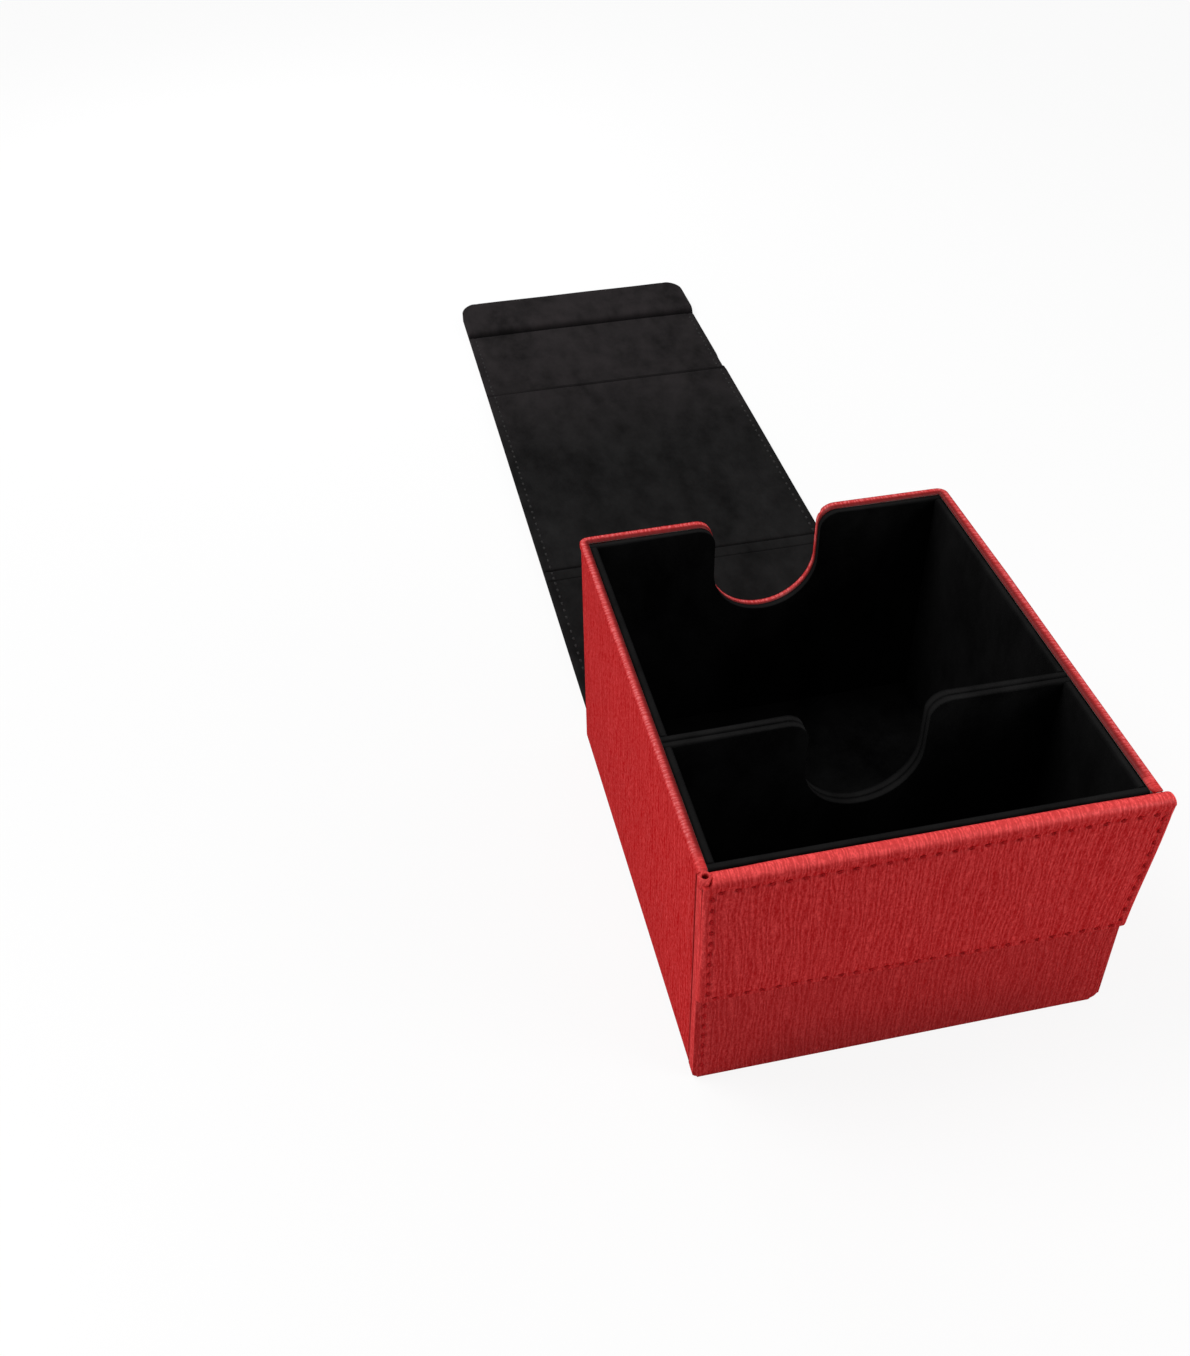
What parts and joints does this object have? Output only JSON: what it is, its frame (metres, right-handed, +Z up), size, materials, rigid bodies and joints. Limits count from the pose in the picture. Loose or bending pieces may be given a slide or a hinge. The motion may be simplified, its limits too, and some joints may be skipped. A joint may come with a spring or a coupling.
{
  "type": "card deck box",
  "caption": "Card deck box with lined trays, a notched divider and a wrap-around magnetic cover that folds open flat behind the box",
  "frame": {"origin": "centre of the box's base on the table, under the middle of the two trays", "axes": "+X along the front to the right, +Y from the front to the rear where the cover lies, +Z up"},
  "size_m": [0.107, 0.4168, 0.0738],
  "materials": {
    "red_leather": "fine streaked grain",
    "board": "grey board",
    "black_velvet": "short nap",
    "charcoal_lining": "suede",
    "steel": "plain"
  },
  "bodies": {
    "box": {"bottom_skin": "red_leather", "bottom_core": "board", "floor_board": "board", "left_wall_board": "board", "left_wall_skin": "red_leather", "right_wall_board": "board", "right_wall_skin": "red_leather", "rear_wall_board": "board", "rear_wall_skin": "red_leather", "front_wall_board": "board", "front_wall_skin": "red_leather", "front_magnets": "steel", "pad_core": "board", "pad_skin": "red_leather", "rear_tray_floor": "black_velvet", "rear_tray_left": "black_velvet", "rear_tray_right": "black_velvet", "rear_tray_back": "black_velvet", "rear_tray_front": "black_velvet", "front_tray_floor": "black_velvet", "front_tray_left": "black_velvet", "front_tray_right": "black_velvet", "front_tray_back": "black_velvet", "front_tray_front": "black_velvet", "bottom_fold_skin": "red_leather", "bottom_fold_lining": "charcoal_lining"},
    "back_panel": {"back_skin": "red_leather", "back_core": "board", "back_lining": "charcoal_lining", "top_fold_skin": "red_leather", "top_fold_lining": "charcoal_lining"},
    "top_panel": {"top_skin": "red_leather", "top_core": "board", "top_lining": "charcoal_lining", "front_fold_rear_skin": "red_leather", "front_fold_rear_lining": "charcoal_lining"},
    "front_fold": {"front_fold_middle_skin": "red_leather", "front_fold_middle_lining": "charcoal_lining", "front_fold_front_skin": "red_leather", "front_fold_front_lining": "charcoal_lining"},
    "front_flap": {"flap_skin": "red_leather", "flap_core": "board", "flap_lining": "charcoal_lining", "strip_core": "board", "strip_lining": "charcoal_lining", "strip_magnets": "steel"}
  },
  "joints": [
    {"name": "back_hinge", "type": "hinge", "parent": "box", "child": "back_panel", "pos_m": [0, 0.06549, 0.00081], "axis": [1, 0, 0], "range_deg": [0, 90], "deforming": ["bottom_fold_skin", "bottom_fold_lining"]},
    {"name": "top_hinge", "type": "hinge", "parent": "back_panel", "child": "top_panel", "pos_m": [0, 0.14145, 0.00081], "axis": [1, 0, 0], "range_deg": [0, 90], "deforming": ["top_fold_skin", "top_fold_lining"]},
    {"name": "fold_hinge", "type": "hinge", "parent": "top_panel", "child": "front_fold", "pos_m": [0, 0.27124, 0.00033], "axis": [1, 0, 0], "range_deg": [0, 45], "deforming": ["front_fold_rear_skin", "front_fold_rear_lining"]},
    {"name": "flap_hinge", "type": "hinge", "parent": "front_fold", "child": "front_flap", "pos_m": [0, 0.27826, 0.00033], "axis": [1, 0, 0], "range_deg": [0, 45], "deforming": ["front_fold_front_skin", "front_fold_front_lining"]}
  ],
  "couplings": [
    {"joint": "flap_hinge", "follows": "fold_hinge", "ratio": 1}
  ]
}
